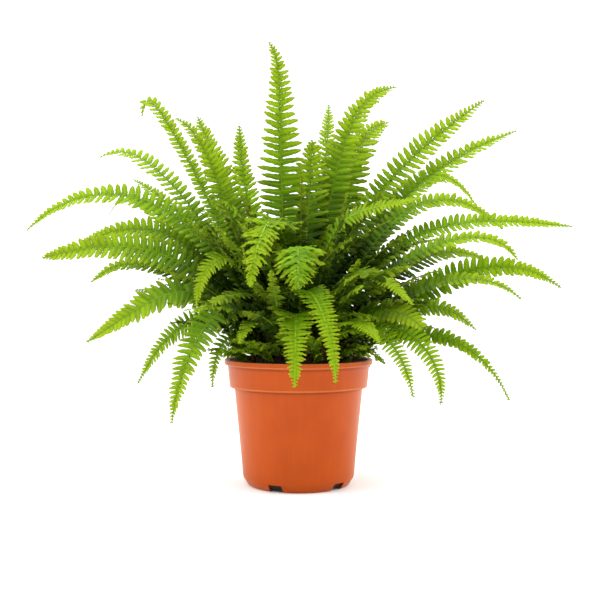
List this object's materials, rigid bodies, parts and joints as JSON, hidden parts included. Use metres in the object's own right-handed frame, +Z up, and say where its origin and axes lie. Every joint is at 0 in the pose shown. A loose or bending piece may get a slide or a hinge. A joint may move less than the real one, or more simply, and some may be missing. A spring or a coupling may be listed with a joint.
{
  "type": "potted fern",
  "caption": "Potted sword fern: a dense crown of arching feathery fronds rooted in soil in a round tapered nursery pot with a lip, a rim band and drain notches in its foot.",
  "frame": {"origin": "middle of the pot's foot, on the surface that the pot stands on, under the middle of the plant's spread", "axes": "+Z up along the pot's axis, +X along the plant's widest spread, to the right of the view that shows it, +Y to the back"},
  "size_m": [0.4844, 0.356, 0.39],
  "materials": {
    "pot_plastic": "satin",
    "soil": "matte",
    "crown": "matte",
    "frond": "satin"
  },
  "bodies": {
    "root": {"pot": "pot_plastic", "soil": "soil", "crown": "crown", "frond_01": "frond", "frond_02": "frond", "frond_03": "frond", "frond_04": "frond", "frond_05": "frond", "frond_06": "frond", "frond_07": "frond", "frond_08": "frond", "frond_09": "frond", "frond_10": "frond", "frond_11": "frond", "frond_12": "frond", "frond_13": "frond", "frond_14": "frond", "frond_15": "frond", "frond_16": "frond", "frond_17": "frond", "frond_18": "frond", "frond_19": "frond", "frond_20": "frond", "frond_21": "frond", "frond_22": "frond", "frond_23": "frond", "frond_24": "frond", "frond_25": "frond", "frond_26": "frond", "frond_27": "frond", "frond_28": "frond", "frond_29": "frond", "frond_30": "frond", "frond_31": "frond", "frond_32": "frond", "frond_33": "frond", "frond_34": "frond", "frond_35": "frond", "frond_36": "frond", "frond_37": "frond", "frond_38": "frond", "frond_39": "frond", "frond_40": "frond", "frond_41": "frond", "frond_42": "frond", "frond_43": "frond", "frond_44": "frond", "frond_45": "frond", "frond_46": "frond", "frond_47": "frond", "frond_48": "frond", "frond_49": "frond", "frond_50": "frond", "frond_51": "frond", "frond_52": "frond", "frond_53": "frond", "frond_54": "frond", "frond_55": "frond", "frond_56": "frond", "frond_57": "frond"}
  },
  "joints": []
}
